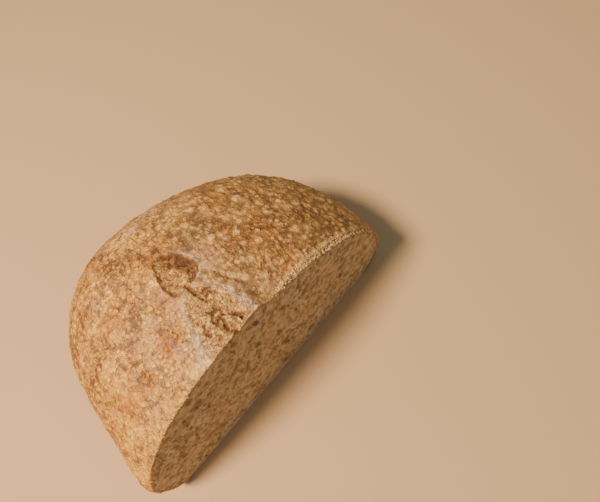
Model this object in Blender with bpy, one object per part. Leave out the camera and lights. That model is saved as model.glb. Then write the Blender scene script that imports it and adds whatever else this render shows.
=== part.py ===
"""Half of a round hearth loaf of paprika bread.

The half rests on its flat base with the crust up. The upright cut face looks toward -Y,
the long side of the cut runs along X, and the rounded back of the loaf is toward +Y.
"""
import math

import bmesh
import bpy
import numpy as np

# Driving dimensions in metres
LOAF_HEIGHT = 0.111
DOME_HEIGHT = 0.1094
BACK_REACH = 0.1128
BACK_BULGE_HEIGHT = 0.042
BACK_UNDERCUT = 0.0096
BACK_FULLNESS = 3.33
PLAN_FULLNESS = 0.071
PLAN_SKEW = 0.038
PLAN_LEAN = -0.009
END_BULGE = 0.034
SCORE_DEPTH = 0.0062
SCORE_RIM = 0.0012
TEAR_RISE = 0.0016
TEAR_STEP = 0.0054
CRACK_DEPTH = 0.0026
CRACK_HALF_WIDTH = 0.0016
CRUST_UNEVENNESS = 0.0006
PORE_LENGTH_SMALL = 0.0042
PORE_LENGTH_LARGE = 0.0100
PORE_SPACING = 0.0016
PORE_EDGE_GAP = 0.006

# Heights between which the relief of the crown fades in
CROWN_LOW = 0.080
CROWN_HIGH = 0.095

# Counts
GRID_ACROSS = 84
GRID_BACK = 42
PORE_COUNT = 44
PORE_TRIES = 4000
PORE_SEGMENTS = 8
PORE_RINGS = 6
PORE_SEED = 41

MM = 0.001

# The middle of the cut on the base, placed so that the loaf's box is centred
CUT_X = -0.00026
CUT_Y = -0.05742

# Outline of the cut from the crown down to the base, as distance from the middle and height, in mm
RIGHT_SIDE = [(0, 109.4), (14, 108.2), (30, 103.8), (46, 96.5), (62, 86), (76, 74.5), (88, 60),
              (96.5, 43), (99.6, 31), (99, 19), (95.6, 9), (90, 2.4), (84, 0)]
LEFT_SIDE = [(0, 109.4), (16, 108.8), (32, 106.4), (48, 101.2), (62, 94), (76, 82.5), (87, 69),
             (95.5, 53), (99.6, 38), (98.8, 22), (95.4, 10), (90, 2.4), (85, 0)]

# Plan outlines on the crown in mm, as x and the distance behind the cut
SCORE_OUTLINE = [(-8.5, 61.4), (-12.5, 52.5), (-14.6, 43.4), (-13.8, 37.2), (-11.6, 35.7), (-5.9, 36.5),
                 (-1.1, 35.5), (4.2, 37.6), (6.5, 41.8), (6.7, 45.6), (5.2, 50.2), (3, 55.1), (-2.4, 60.8),
                 (-5.3, 61.9)]
SCORE_DEEP_SIDE = [(1, 57.5), (3, 55.1), (5.2, 50.2), (6.7, 45.6), (6.4, 41.4), (4, 37.6)]
TEAR_OUTLINE = [(-11, 35), (-5, 34.5), (0.8, 33.5), (2.6, 28.1), (4.9, 23.2), (6.7, 17.8), (7.4, 11.6),
                (8.1, 5.7), (8, -4), (-26, -4), (-24.8, 4.8), (-23.5, 11.5), (-20, 20.3), (-15.4, 29.3)]
TEAR_EDGE = [(1.5, 32), (2.6, 28.1), (4.9, 23.2), (6.7, 17.8), (7.4, 11.6), (8.1, 5.7), (8, -4)]
CRACKS = [
    [(-6, 38), (-5.6, 33.6), (-6, 29.5), (-5.5, 25.6), (-4.8, 21.9)],
    [(-3.6, 15), (-7.5, 15.6), (-10.9, 12.8)],
    [(-6.4, 11.6), (-6.4, 9.2), (-8.2, 6.6), (-8.4, 2.5), (-7.2, -3)],
]

# Larger openings in the crumb, in mm and degrees: x, z, half length, half width, tilt
OPENINGS = [
    (67, 50, 6.2, 2.8, 20), (-52, 25, 7.6, 3.0, -28), (36, 72, 4.6, 2.6, 35), (-46, 83, 4.4, 2.9, 20),
    (12, 38, 5.2, 2.3, 5), (-14, 62, 4.8, 2.2, 62), (-74, 41, 4.2, 2.4, -50),
]


def smooth_line(points, steps=24):
    """A curve through the points, as dense rows."""
    pts = np.array(points, float) * MM
    pts = np.vstack([2 * pts[0] - pts[1], pts, 2 * pts[-1] - pts[-2]])
    t = np.linspace(0, 1, steps, endpoint=False)[:, None]
    rows = []
    for a, b, c, d in zip(pts[:-3], pts[1:-2], pts[2:-1], pts[3:]):
        square = (2 * a - 5 * b + 4 * c - d) * t ** 2
        cube = (3 * b - a - 3 * c + d) * t ** 3
        rows.append(0.5 * (2 * b + (c - a) * t + square + cube))
    return np.vstack(rows + [pts[-2:-1]])


def back_line(steps=90):
    """Outline of the loaf from the crown over the back to the base, as distance and height."""
    t = np.linspace(0, math.pi / 2, steps)
    power = 2 / BACK_FULLNESS
    rise = DOME_HEIGHT - BACK_BULGE_HEIGHT
    upper = np.column_stack([BACK_REACH * np.sin(t) ** power, BACK_BULGE_HEIGHT + rise * np.cos(t) ** power])
    t = np.linspace(0, math.pi / 2, steps // 3)[1:]
    out = BACK_REACH - BACK_UNDERCUT * (1 - np.cos(t))
    lower = np.column_stack([out, BACK_BULGE_HEIGHT * (1 - np.sin(t))])
    return np.vstack([upper, lower])


def at_share(line, share):
    """Point of a line at a share of its length."""
    run = np.concatenate([[0], np.cumsum(np.linalg.norm(np.diff(line, axis=0), axis=1))])
    return np.interp(share * run[-1], run, line[:, 0]), np.interp(share * run[-1], run, line[:, 1])


def half_disc(a, b):
    """Radius and angle on a half disc for a in -1 to 1 and b in 0 to 1, with even cells."""
    wide = np.abs(a) > np.abs(b)
    safe_a = np.where(a == 0, 1, a)
    safe_b = np.where(b == 0, 1, b)
    radius = np.where(wide, np.abs(a), np.abs(b))
    side_angle = np.where(a > 0, 0, math.pi) + math.pi / 4 * b / safe_a
    back_angle = math.pi / 2 - math.pi / 4 * a / safe_b
    angle = np.where(wide, side_angle, back_angle)
    return radius, np.where(radius == 0, 0, angle)


def dome(a, b):
    """Smooth crust of the half loaf; b = 0 lies on the cut and radius 1 on the base."""
    radius, angle = half_disc(a, b)
    right_x, right_z = at_share(smooth_line(RIGHT_SIDE), radius)
    left_x, left_z = at_share(smooth_line(LEFT_SIDE), radius)
    back_y, back_z = at_share(back_line(), radius)
    side_share = np.cos(angle) ** 2
    side_x = np.where(np.cos(angle) >= 0, right_x, left_x)
    side_z = np.where(np.cos(angle) >= 0, right_z, left_z)
    full = 1 + PLAN_FULLNESS * np.sin(2 * angle) ** 2 + PLAN_SKEW * np.sin(4 * angle)
    full = full + PLAN_LEAN * np.sin(2 * angle) * np.sin(angle)
    from_end = np.maximum(math.pi - angle, 0) / 0.12
    full = full + END_BULGE * from_end * np.exp(1 - from_end) * step(side_z, 0.085, 0.040)
    reach = (side_x * side_share + back_y * (1 - side_share)) * full
    height = side_z * side_share + back_z * (1 - side_share)
    return np.stack([reach * np.cos(angle) + CUT_X, reach * np.sin(angle) + CUT_Y, height], -1)


def line_distance(x, y, points):
    """Distance in plan from a broken line."""
    pts = np.array(points, float) * MM
    best = np.full(x.shape, 1.0)
    for (ax, ay), (bx, by) in zip(pts[:-1], pts[1:]):
        dx, dy = bx - ax, by - ay
        t = np.clip(((x - ax) * dx + (y - ay) * dy) / (dx * dx + dy * dy), 0, 1)
        best = np.minimum(best, np.hypot(x - ax - t * dx, y - ay - t * dy))
    return best


def inside_depth(x, y, outline):
    """Distance in plan from a closed outline, positive inside it."""
    pts = np.array(outline, float) * MM
    inside = np.zeros(x.shape, bool)
    for (ax, ay), (bx, by) in zip(pts, np.roll(pts, -1, axis=0)):
        crosses = (ay > y) != (by > y)
        slope = (bx - ax) / (by - ay if by != ay else 1)
        inside ^= crosses & (x < ax + (y - ay) * slope)
    distance = line_distance(x, y, list(outline) + [outline[0]])
    return np.where(inside, distance, -distance)


def step(value, low, high):
    """Smooth change from 0 at low to 1 at high."""
    t = np.clip((value - low) / (high - low), 0, 1)
    return t * t * (3 - 2 * t)


def unevenness(p, pitch, seed):
    """Soft lumps between -1 and 1 in a field of points."""
    cell = np.floor(p / pitch).astype(int)
    part = p / pitch - cell
    part = part * part * (3 - 2 * part)
    total = np.zeros(p.shape[:-1])
    for corner in np.ndindex(2, 2, 2):
        key = (cell + np.array(corner)) @ np.array([73856093, 19349663, 83492791]) + seed * 7919
        value = np.modf(np.abs(np.sin(key % 100003 * 12.9898) * 43758.5453))[0] * 2 - 1
        weight = np.prod(np.where(np.array(corner) == 1, part, 1 - part), axis=-1)
        total += value * weight
    return total


def relief(p):
    """Height of the crust's relief above the smooth dome."""
    x, y, z = p[..., 0] - CUT_X, p[..., 1] - CUT_Y, p[..., 2]
    crown = step(z, CROWN_LOW, CROWN_HIGH)
    height = CRUST_UNEVENNESS * unevenness(p, 0.011, 1) + 0.6 * CRUST_UNEVENNESS * unevenness(p, 0.006, 2)

    score = inside_depth(x, y, SCORE_OUTLINE)
    toward_deep = step(line_distance(x, y, SCORE_DEEP_SIDE), 0.0095, 0.0022)
    floor = SCORE_DEPTH * (0.26 + 0.74 * toward_deep) * step(score, -0.0005, 0.0030)
    rim = SCORE_RIM * step(score, 0.0006, -0.0010) * np.exp(np.minimum(score, 0) / 0.0050)
    height = height + (rim - floor) * crown

    tear = inside_depth(x, y, TEAR_OUTLINE)
    rough = 0.5 + 0.5 * unevenness(p, 0.0052, 5)
    height = height + (TEAR_RISE * (0.25 + 0.95 * rough)) * step(tear, -0.001, 0.004) * crown

    edge = line_distance(x, y, TEAR_EDGE)
    beyond = (x > np.interp(y, [-0.004, 0.0115, 0.021, 0.0305], [0.0086, 0.0076, 0.006, 0.0016])) & (tear < 0)
    near_cut = step(y, 0.036, 0.0)
    drop = TEAR_STEP * near_cut * step(edge, -0.0005, 0.0130) * step(x, 0.062, 0.006)
    height = height - np.where(beyond, drop, 0) * crown
    height = height + 0.0009 * np.exp(-(edge / 0.0026) ** 2) * step(y, 0.034, 0.024) * crown

    for crack in CRACKS:
        groove = step(line_distance(x, y, crack), CRACK_HALF_WIDTH * 1.35, 0.0002)
        height = height - CRACK_DEPTH * groove * crown
    return height


def grid_lines():
    """Cell lines across and back, closer together around the score."""
    fine = np.linspace(-1, 1, 4001)
    weight = 1 + 1.5 * np.exp(-((fine + 0.05) / 0.17) ** 2)
    run = np.concatenate([[0], np.cumsum((weight[1:] + weight[:-1]) / 2)])
    across = np.interp(np.linspace(0, run[-1], GRID_ACROSS + 1), run, fine)
    across[np.abs(across).argmin()] = 0
    fine = np.linspace(0, 1, 2001)
    weight = 1 + 1.2 * np.exp(-(np.maximum(fine - 0.12, 0) / 0.2) ** 2)
    run = np.concatenate([[0], np.cumsum((weight[1:] + weight[:-1]) / 2)])
    back = np.interp(np.linspace(0, run[-1], GRID_BACK + 1), run, fine)
    return across, back


def crust_points(across, back):
    """Rows of crust points with the relief along the surface's outward direction."""
    a, b = np.meshgrid(across, back, indexing="ij")
    points = dome(a, b)
    shift = 1e-4
    along = dome(np.clip(a + shift, -1, 1), b) - dome(np.clip(a - shift, -1, 1), b)
    away = dome(a, np.clip(b + shift, 0, 1)) - dome(a, np.clip(b - shift, 0, 1))
    normal = np.cross(along, away)
    normal /= np.maximum(np.linalg.norm(normal, axis=-1, keepdims=True), 1e-12)
    normal[np.isclose(b, 0), 1] = 0
    length = np.maximum(np.linalg.norm(normal, axis=-1, keepdims=True), 1e-12)
    normal = normal / length
    radius = np.maximum(np.abs(a), b)
    fade = step(radius, 1.0, 0.93)
    height = relief(points) * fade
    points = points + normal * height[..., None]
    points[np.isclose(b, 0), 1] = CUT_Y
    points[..., 1] = np.maximum(points[..., 1], CUT_Y)
    points[..., 2] = np.clip(points[..., 2], 0, LOAF_HEIGHT)
    return points


def half_loaf_mesh():
    """Closed body of the crust, the flat base and the flat cut face."""
    across, back = grid_lines()
    points = crust_points(across, back)
    mesh = bmesh.new()
    rows = [[mesh.verts.new(co) for co in row] for row in points]
    for i in range(GRID_ACROSS):
        for j in range(GRID_BACK):
            mesh.faces.new((rows[i][j], rows[i + 1][j], rows[i + 1][j + 1], rows[i][j + 1]))
    left_end = rows[0]
    back_end = [row[-1] for row in rows]
    right_end = rows[-1]
    rim = list(left_end) + back_end[1:] + list(reversed(right_end))[1:]
    mesh.faces.new(rim)
    cut = [row[0] for row in rows]
    mesh.faces.new(list(reversed(cut)))
    bmesh.ops.remove_doubles(mesh, verts=mesh.verts, dist=2e-6)
    bmesh.ops.triangulate(mesh, faces=[face for face in mesh.faces if len(face.verts) == 4])
    bmesh.ops.recalc_face_normals(mesh, faces=mesh.faces)
    if mesh.calc_volume(signed=True) < 0:
        bmesh.ops.reverse_faces(mesh, faces=mesh.faces)
    return mesh


def profile_height(x):
    """Height of the cut's crown at x."""
    left = smooth_line(LEFT_SIDE)
    right = smooth_line(RIGHT_SIDE)
    line = left if x < 0 else right
    top = line[:line[:, 0].argmax() + 1]
    return float(np.interp(abs(x), top[:, 0], top[:, 1]))


def pore_list():
    """Openings of the crumb on the cut face: x, z, half length, half width, tilt in radians."""
    pores = [(x * MM, z * MM, a * MM, b * MM, math.radians(t)) for x, z, a, b, t in OPENINGS]
    random = np.random.default_rng(PORE_SEED)
    for _ in range(PORE_TRIES):
        if len(pores) == PORE_COUNT:
            break
        x = random.uniform(-0.090, 0.090)
        z = random.uniform(0.010, 0.100)
        length = random.uniform(PORE_LENGTH_SMALL, PORE_LENGTH_LARGE) ** 2 / PORE_LENGTH_LARGE
        half_length = max(length, PORE_LENGTH_SMALL) / 2
        half_width = half_length * random.uniform(0.45, 0.75)
        flow = math.atan2(-(x / 0.1) * 0.9, 0.55 + 0.45 * z / LOAF_HEIGHT)
        tilt = flow + random.normal(0, 0.45)
        reach = half_length + PORE_EDGE_GAP
        if z + reach > profile_height(x) or z < reach:
            continue
        if profile_height(x + math.copysign(reach, x)) < z:
            continue
        gap = min(math.hypot(x - p[0], z - p[1]) - p[2] - half_length for p in pores)
        if gap < PORE_SPACING:
            continue
        pores.append((x, z, half_length, half_width, tilt))
    return pores


def pore_cutter():
    """One mesh of separate closed ellipsoids that straddle the cut face."""
    mesh = bmesh.new()
    random = np.random.default_rng(PORE_SEED + 1)
    for x, z, half_length, half_width, tilt in pore_list():
        deep = half_width * random.uniform(1.0, 1.5)
        made = bmesh.ops.create_uvsphere(mesh, u_segments=PORE_SEGMENTS, v_segments=PORE_RINGS, radius=1.0)
        wobble = random.uniform(0.86, 1.12, PORE_SEGMENTS)
        for vert in made["verts"]:
            along, depth, up = vert.co
            turn = math.atan2(up, along)
            pick = wobble[int(round((turn % math.tau) / math.tau * PORE_SEGMENTS)) % PORE_SEGMENTS]
            along, up = along * half_length * pick, up * half_width * pick
            vert.co.x = CUT_X + x + along * math.cos(tilt) - up * math.sin(tilt)
            vert.co.z = z + along * math.sin(tilt) + up * math.cos(tilt)
            vert.co.y = CUT_Y + depth * deep + half_width * 0.11
    bmesh.ops.triangulate(mesh, faces=mesh.faces)
    bmesh.ops.recalc_face_normals(mesh, faces=mesh.faces)
    return mesh


def crust_material():
    """Matt baked bread."""
    material = bpy.data.materials.new("baked_bread")
    material.use_nodes = True
    shader = material.node_tree.nodes["Principled BSDF"]
    shader.inputs["Base Color"].default_value = (0.42, 0.22, 0.085, 1)
    shader.inputs["Roughness"].default_value = 0.75
    shader.inputs["Metallic"].default_value = 0
    return material


def add_object(name, mesh):
    """A scene object from a working mesh."""
    data = bpy.data.meshes.new(name)
    mesh.to_mesh(data)
    mesh.free()
    item = bpy.data.objects.new(name, data)
    bpy.context.scene.collection.objects.link(item)
    return item


def build():
    """The half loaf as one solid with the larger openings of the crumb cut in."""
    for item in list(bpy.data.objects):
        bpy.data.objects.remove(item, do_unlink=True)
    half = add_object("bread_half", half_loaf_mesh())
    cutter = add_object("crumb_openings", pore_cutter())
    carve = half.modifiers.new("crumb openings", "BOOLEAN")
    carve.operation = "DIFFERENCE"
    carve.solver = "EXACT"
    carve.object = cutter
    bpy.context.view_layer.update()
    shaped = bpy.data.meshes.new_from_object(half.evaluated_get(bpy.context.evaluated_depsgraph_get()))
    half.modifiers.clear()
    half.data = shaped
    bpy.data.objects.remove(cutter, do_unlink=True)
    mesh = bmesh.new()
    mesh.from_mesh(half.data)
    bmesh.ops.remove_doubles(mesh, verts=mesh.verts, dist=2e-6)
    bmesh.ops.triangulate(mesh, faces=mesh.faces)
    mesh.to_mesh(half.data)
    mesh.free()
    half.data.name = "bread_half"
    half.data.materials.clear()
    half.data.materials.append(crust_material())


build()
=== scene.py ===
"""Half of a round loaf of paprika bread: blistered crust, open crumb and floury underside."""
import math

import bmesh
import bpy
import numpy as np
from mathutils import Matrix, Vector


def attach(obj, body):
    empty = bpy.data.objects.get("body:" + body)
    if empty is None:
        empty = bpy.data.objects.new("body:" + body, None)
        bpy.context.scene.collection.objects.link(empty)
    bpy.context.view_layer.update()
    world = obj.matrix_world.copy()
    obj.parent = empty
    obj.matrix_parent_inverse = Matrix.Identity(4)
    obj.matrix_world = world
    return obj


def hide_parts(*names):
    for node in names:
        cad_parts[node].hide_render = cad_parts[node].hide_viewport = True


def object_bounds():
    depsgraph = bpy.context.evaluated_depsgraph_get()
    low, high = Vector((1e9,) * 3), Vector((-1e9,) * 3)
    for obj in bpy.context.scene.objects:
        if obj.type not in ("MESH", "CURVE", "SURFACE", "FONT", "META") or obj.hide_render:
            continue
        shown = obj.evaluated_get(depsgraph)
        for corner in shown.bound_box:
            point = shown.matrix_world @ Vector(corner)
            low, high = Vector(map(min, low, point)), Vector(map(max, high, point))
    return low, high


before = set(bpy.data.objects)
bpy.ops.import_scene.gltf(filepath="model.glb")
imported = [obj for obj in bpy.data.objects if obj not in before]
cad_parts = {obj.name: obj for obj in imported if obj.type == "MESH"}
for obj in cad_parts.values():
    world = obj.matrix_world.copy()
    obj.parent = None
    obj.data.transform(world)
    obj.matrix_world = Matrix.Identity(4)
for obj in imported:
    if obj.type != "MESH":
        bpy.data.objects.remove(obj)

MM = 0.001
CAD_LOW, CAD_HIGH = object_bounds()
CAD_BOX = [list(CAD_LOW), list(CAD_HIGH)]

# The smooth loaf, with the same values as the solid
LOAF_HEIGHT = 0.111
DOME_HEIGHT = 0.1094
BACK_REACH = 0.1128
BACK_BULGE_HEIGHT = 0.042
BACK_UNDERCUT = 0.0096
BACK_FULLNESS = 3.33
PLAN_FULLNESS = 0.071
PLAN_SKEW = 0.038
PLAN_LEAN = -0.009
END_BULGE = 0.034
SCORE_DEPTH = 0.0062
SCORE_RIM = 0.0012
TEAR_RISE = 0.0016
TEAR_STEP = 0.0054
CRACK_DEPTH = 0.0026
CRUST_UNEVENNESS = 0.0006
CUT_X = -0.00026
CUT_Y = -0.05742

# Sides of the cut from the crown to the base, as distance from the middle and height in mm
RIGHT_SIDE = [(0, 109.4), (14, 108.2), (30, 103.8), (46, 96.5), (62, 86), (76, 74.5), (88, 60),
              (96.5, 43), (99.6, 31), (99, 19), (95.6, 9), (90, 2.4), (84, 0)]
LEFT_SIDE = [(0, 109.4), (16, 108.8), (32, 106.4), (48, 101.2), (62, 94), (76, 82.5), (87, 69),
             (95.5, 53), (99.6, 38), (98.8, 22), (95.4, 10), (90, 2.4), (85, 0)]

# Lines on the crown seen from above, as x and distance behind the cut in mm
SCORE_OUTLINE = [(-8.5, 61.4), (-12.5, 52.5), (-14.6, 43.4), (-13.8, 37.2), (-11.6, 35.7), (-5.9, 36.5),
                 (-1.1, 35.5), (4.2, 37.6), (6.5, 41.8), (6.7, 45.6), (5.2, 50.2), (3, 55.1), (-2.4, 60.8),
                 (-5.3, 61.9)]
SCORE_DEEP_SIDE = [(1, 57.5), (3, 55.1), (5.2, 50.2), (6.7, 45.6), (6.4, 41.4), (4, 37.6)]
TEAR_OUTLINE = [(-11, 35), (-5, 34.5), (0.8, 33.5), (2.6, 28.1), (4.9, 23.2), (6.7, 17.8), (7.4, 11.6),
                (8.1, 5.7), (8, -4), (-26, -4), (-24.8, 4.8), (-23.5, 11.5), (-20, 20.3), (-15.4, 29.3)]
TEAR_EDGE = [(1.5, 32), (2.6, 28.1), (4.9, 23.2), (6.7, 17.8), (7.4, 11.6), (8.1, 5.7), (8, -4)]
TEAR_LOW_EDGE = [(-15.3, 29.3), (-17.6, 24.8), (-20, 20.3), (-21.8, 16.4), (-24, 10.5), (-25.8, 4)]
MAIN_CRACK = [(-6, 38), (-5.6, 33.6), (-6, 29.5), (-5.5, 25.6), (-4.8, 21.9)]
FINE_CRACKS = [
    [(-8.8, 17.9), (-7.5, 15.6), (-5.2, 16.2), (-3.6, 15)],
    [(-7.5, 15.6), (-9.3, 14.6), (-10.9, 12.8), (-9.6, 10.4)],
    [(-9.6, 10.4), (-7.2, 11.8), (-4.6, 11.9), (-4, 10.6)],
    [(-6.4, 11.6), (-6.4, 9.2), (-8.2, 6.6), (-8.4, 4.2)],
    [(-8, 2.5), (-6.2, 1.2), (-7.2, -3)],
    [(-3.3, 27.6), (-0.7, 27.9), (1.5, 26.2)],
    [(-2.9, 24.6), (-0.4, 25.2), (1.3, 22.9)],
    [(-1.2, 8.2), (0.8, 5.4), (0.2, 2.6)],
    [(-14.6, 15.4), (-16.8, 12.2), (-16.2, 9)],
]

# Baked tone of the crust as x, distance behind the cut, height in mm, reach in mm and strength
FLOUR_SPOTS = [
    (-36, 78, 99, 13, 0.7), (-40, 54, 103, 13, 0.35), (-55, 68, 95, 12, 0.35), (12, 90, 96, 9, 0.9),
    (28, 82, 96, 9, 0.7), (10, 33, 108, 5, 0.8), (16, 46, 107, 8, 0.6), (-18, 33, 108, 6, 0.6),
    (-37, 37, 105, 9, 0.35), (-41, 29, 104, 8, 0.3), (-27, 68, 104, 10, 0.5), (5, 26, 109, 4, 0.8),
    (12, 4, 107, 6, 0.7), (15, 11, 107, 6, 0.6), (-34, 8, 105, 8, 0.4), (-24, 88, 92, 10, 0.7),
]
BLOOM_SPOTS = [
    (-4, 93, 96, 8, 0.9), (12, 97, 91, 8, 0.9), (-18, 98, 88, 7, 0.7), (9, 38, 108, 5, 0.75),
    (12, 14, 108, 5, 0.65), (-18, 32, 108, 4.5, 0.8), (-31, 39, 106, 4, 0.6), (-38, 35, 105, 4, 0.65),
    (-30, 14, 107, 3.5, 0.6), (-28, 8, 107, 4, 0.7), (-44, 73, 98, 6, 0.5), (13, 50, 107, 5, 0.4),
    (-58, 12, 95, 6, 0.35),
]
ORANGE_SPOTS = [
    (-31, 24, 107, 7, 1.3), (-26, 27, 108, 6, 1.0), (-35, 22, 106, 6, 1.1), (-50, 22, 100, 5, 1.0),
    (-58, 23, 96, 5, 1.0), (-66, 25, 90, 5, 1.0), (-71, 25, 86, 5, 1.0), (-84, 29, 71, 8, 0.8),
    (-92, 36, 50, 10, 0.6), (-52, 75, 94, 8, 0.5), (-57, 58, 95, 6, 0.4), (-8, 66, 106, 9, 0.6),
    (43, 32, 100, 8, 0.8), (37, 7, 101, 8, 0.8), (30, 14, 104, 7, 0.6), (-78, 58, 62, 12, 0.4),
    (-19, 13, 109, 5, 0.5),
]

# Single large blisters as x, distance behind the cut, height and radius in mm
LARGE_BLISTERS = [
    (-61.4, 47.4, 93.6, 2.7), (21.7, 46.5, 105.9, 2.6), (17.2, 17.8, 107.9, 2.5), (32.5, 39.6, 103.7, 2.0),
    (39.4, 44.2, 101.1, 2.2), (37.1, 27, 102.7, 2.0), (-83, 27, 71.9, 2.4), (57, 20, 94, 2.4),
    (26, 70, 98, 2.3), (48, 58, 94, 2.6), (9, 76, 101, 2.2), (-12, 84, 98, 2.3), (64, 34, 86, 2.5),
    (-48, 60, 98, 2.0),
]

# Single large pores as x, height, half length and half width in mm and tilt in degrees
LARGE_PORES = [
    (67, 50, 5.6, 2.5, 20), (-52, 25, 6.4, 2.6, -28), (36, 72, 4.2, 2.3, 35), (-46, 83, 4.0, 2.5, 20),
    (12, 38, 4.6, 2.0, 5), (-14, 62, 4.2, 2.0, 62), (-74, 41, 3.8, 2.1, -50),
]

# Counts of the meshes and of what is scattered at random
CRUST_ACROSS = 432
CRUST_BACK = 212
CRUMB_ACROSS = 420
CRUMB_BACK = 210
BASE_ACROSS = 150
BASE_BACK = 75
BLISTER_COUNT = 5200
PORE_COUNT = 5200
GRAIN_COUNT = 900

# Usual step between the points of the crust, and step of the pore map of the cut
CRUST_STEP = 0.0007
PORE_STEP = 0.00025

# Width of the rind at the cut, depth of the recess inside it and depth of the crumb that fills it
RIND_WIDTH = 0.0022
RECESS_DEPTH = 0.0072
CRUMB_THICKNESS = 0.0068

# Height of the place in the middle of the cut that its edges lean toward
MIDDLE_HEIGHT = 0.030

# Height of the floury sole that shows below the crumb
SOLE_EDGE = 0.0016

# Small shift on the half disc that gives the direction of the crust
SHIFT = 1e-4

# Where the camera stands, and its turn about x, y and z in degrees
VIEW_PLACE = (-0.01937, -0.1579, 0.38238)
VIEW_ANGLES = (22.7381, 7.8922, -49.2041)


def step(value, low, high):
    """Smooth change from 0 at low to 1 at high."""
    t = np.clip((value - low) / (high - low), 0, 1)
    return t * t * (3 - 2 * t)


def unit(rows):
    """Rows of directions made 1 long."""
    return rows / np.maximum(np.linalg.norm(rows, axis=-1, keepdims=True), 1e-12)


def smooth_line(points, steps=24):
    """A curve through the points, as dense rows."""
    pts = np.array(points, float) * MM
    pts = np.vstack([2 * pts[0] - pts[1], pts, 2 * pts[-1] - pts[-2]])
    t = np.linspace(0, 1, steps, endpoint=False)[:, None]
    rows = []
    for a, b, c, d in zip(pts[:-3], pts[1:-2], pts[2:-1], pts[3:]):
        square = (2 * a - 5 * b + 4 * c - d) * t ** 2
        cube = (3 * b - a - 3 * c + d) * t ** 3
        rows.append(0.5 * (2 * b + (c - a) * t + square + cube))
    return np.vstack(rows + [pts[-2:-1]])


def back_line(steps=90):
    """Outline from the crown over the back to the base, as distance and height."""
    t = np.linspace(0, math.pi / 2, steps)
    power = 2 / BACK_FULLNESS
    rise = DOME_HEIGHT - BACK_BULGE_HEIGHT
    upper = np.column_stack([BACK_REACH * np.sin(t) ** power, BACK_BULGE_HEIGHT + rise * np.cos(t) ** power])
    t = np.linspace(0, math.pi / 2, steps // 3)[1:]
    out = BACK_REACH - BACK_UNDERCUT * (1 - np.cos(t))
    lower = np.column_stack([out, BACK_BULGE_HEIGHT * (1 - np.sin(t))])
    return np.vstack([upper, lower])


def at_share(line, share):
    """Point of a line at a share of its length."""
    run = np.concatenate([[0], np.cumsum(np.linalg.norm(np.diff(line, axis=0), axis=1))])
    return np.interp(share * run[-1], run, line[:, 0]), np.interp(share * run[-1], run, line[:, 1])


def half_disc(a, b):
    """Radius and angle on a half disc for a in -1 to 1 and b in 0 to 1, with even cells."""
    wide = np.abs(a) > np.abs(b)
    safe_a = np.where(a == 0, 1, a)
    safe_b = np.where(b == 0, 1, b)
    radius = np.where(wide, np.abs(a), np.abs(b))
    side_angle = np.where(a > 0, 0, math.pi) + math.pi / 4 * b / safe_a
    back_angle = math.pi / 2 - math.pi / 4 * a / safe_b
    angle = np.where(wide, side_angle, back_angle)
    return radius, np.where(radius == 0, 0, angle)


def dome(a, b):
    """Smooth crust of the half loaf; b = 0 lies on the cut and radius 1 on the base."""
    radius, angle = half_disc(a, b)
    right_x, right_z = at_share(smooth_line(RIGHT_SIDE), radius)
    left_x, left_z = at_share(smooth_line(LEFT_SIDE), radius)
    back_y, back_z = at_share(back_line(), radius)
    side_share = np.cos(angle) ** 2
    side_x = np.where(np.cos(angle) >= 0, right_x, left_x)
    side_z = np.where(np.cos(angle) >= 0, right_z, left_z)
    full = 1 + PLAN_FULLNESS * np.sin(2 * angle) ** 2 + PLAN_SKEW * np.sin(4 * angle)
    full = full + PLAN_LEAN * np.sin(2 * angle) * np.sin(angle)
    from_end = np.maximum(math.pi - angle, 0) / 0.12
    full = full + END_BULGE * from_end * np.exp(1 - from_end) * step(side_z, 0.085, 0.040)
    reach = (side_x * side_share + back_y * (1 - side_share)) * full
    height = side_z * side_share + back_z * (1 - side_share)
    return np.stack([reach * np.cos(angle) + CUT_X, reach * np.sin(angle) + CUT_Y, height], -1)


def on_loaf(x, behind, z):
    """Point of the loaf from x, distance behind the cut and height in mm."""
    return np.array([x * MM + CUT_X, behind * MM + CUT_Y, z * MM])


def line_distance(x, y, points):
    """Distance in plan from a broken line."""
    pts = np.array(points, float) * MM
    best = np.full(x.shape, 1.0)
    for (ax, ay), (bx, by) in zip(pts[:-1], pts[1:]):
        dx, dy = bx - ax, by - ay
        t = np.clip(((x - ax) * dx + (y - ay) * dy) / (dx * dx + dy * dy), 0, 1)
        best = np.minimum(best, np.hypot(x - ax - t * dx, y - ay - t * dy))
    return best


def inside_depth(x, y, outline):
    """Distance in plan from a closed outline, positive inside it."""
    pts = np.array(outline, float) * MM
    inside = np.zeros(x.shape, bool)
    for (ax, ay), (bx, by) in zip(pts, np.roll(pts, -1, axis=0)):
        crosses = (ay > y) != (by > y)
        slope = (bx - ax) / (by - ay if by != ay else 1)
        inside ^= crosses & (x < ax + (y - ay) * slope)
    distance = line_distance(x, y, list(outline) + [outline[0]])
    return np.where(inside, distance, -distance)


def hashed(cell, seed):
    """Even random number between -1 and 1 for whole-numbered cells."""
    key = cell @ np.array([73856093, 19349663, 83492791][:cell.shape[-1]]) + seed * 7919
    return np.modf(np.abs(np.sin(key % 100003 * 12.9898) * 43758.5453))[0] * 2 - 1


def lumps(p, pitch, seed):
    """Soft lumps between -1 and 1 in a field of points."""
    cell = np.floor(p / pitch).astype(int)
    part = p / pitch - cell
    part = part * part * (3 - 2 * part)
    total = np.zeros(p.shape[:-1])
    for corner in np.ndindex(*(2,) * p.shape[-1]):
        weight = np.prod(np.where(np.array(corner) == 1, part, 1 - part), axis=-1)
        total += hashed(cell + np.array(corner), seed) * weight
    return total


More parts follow.
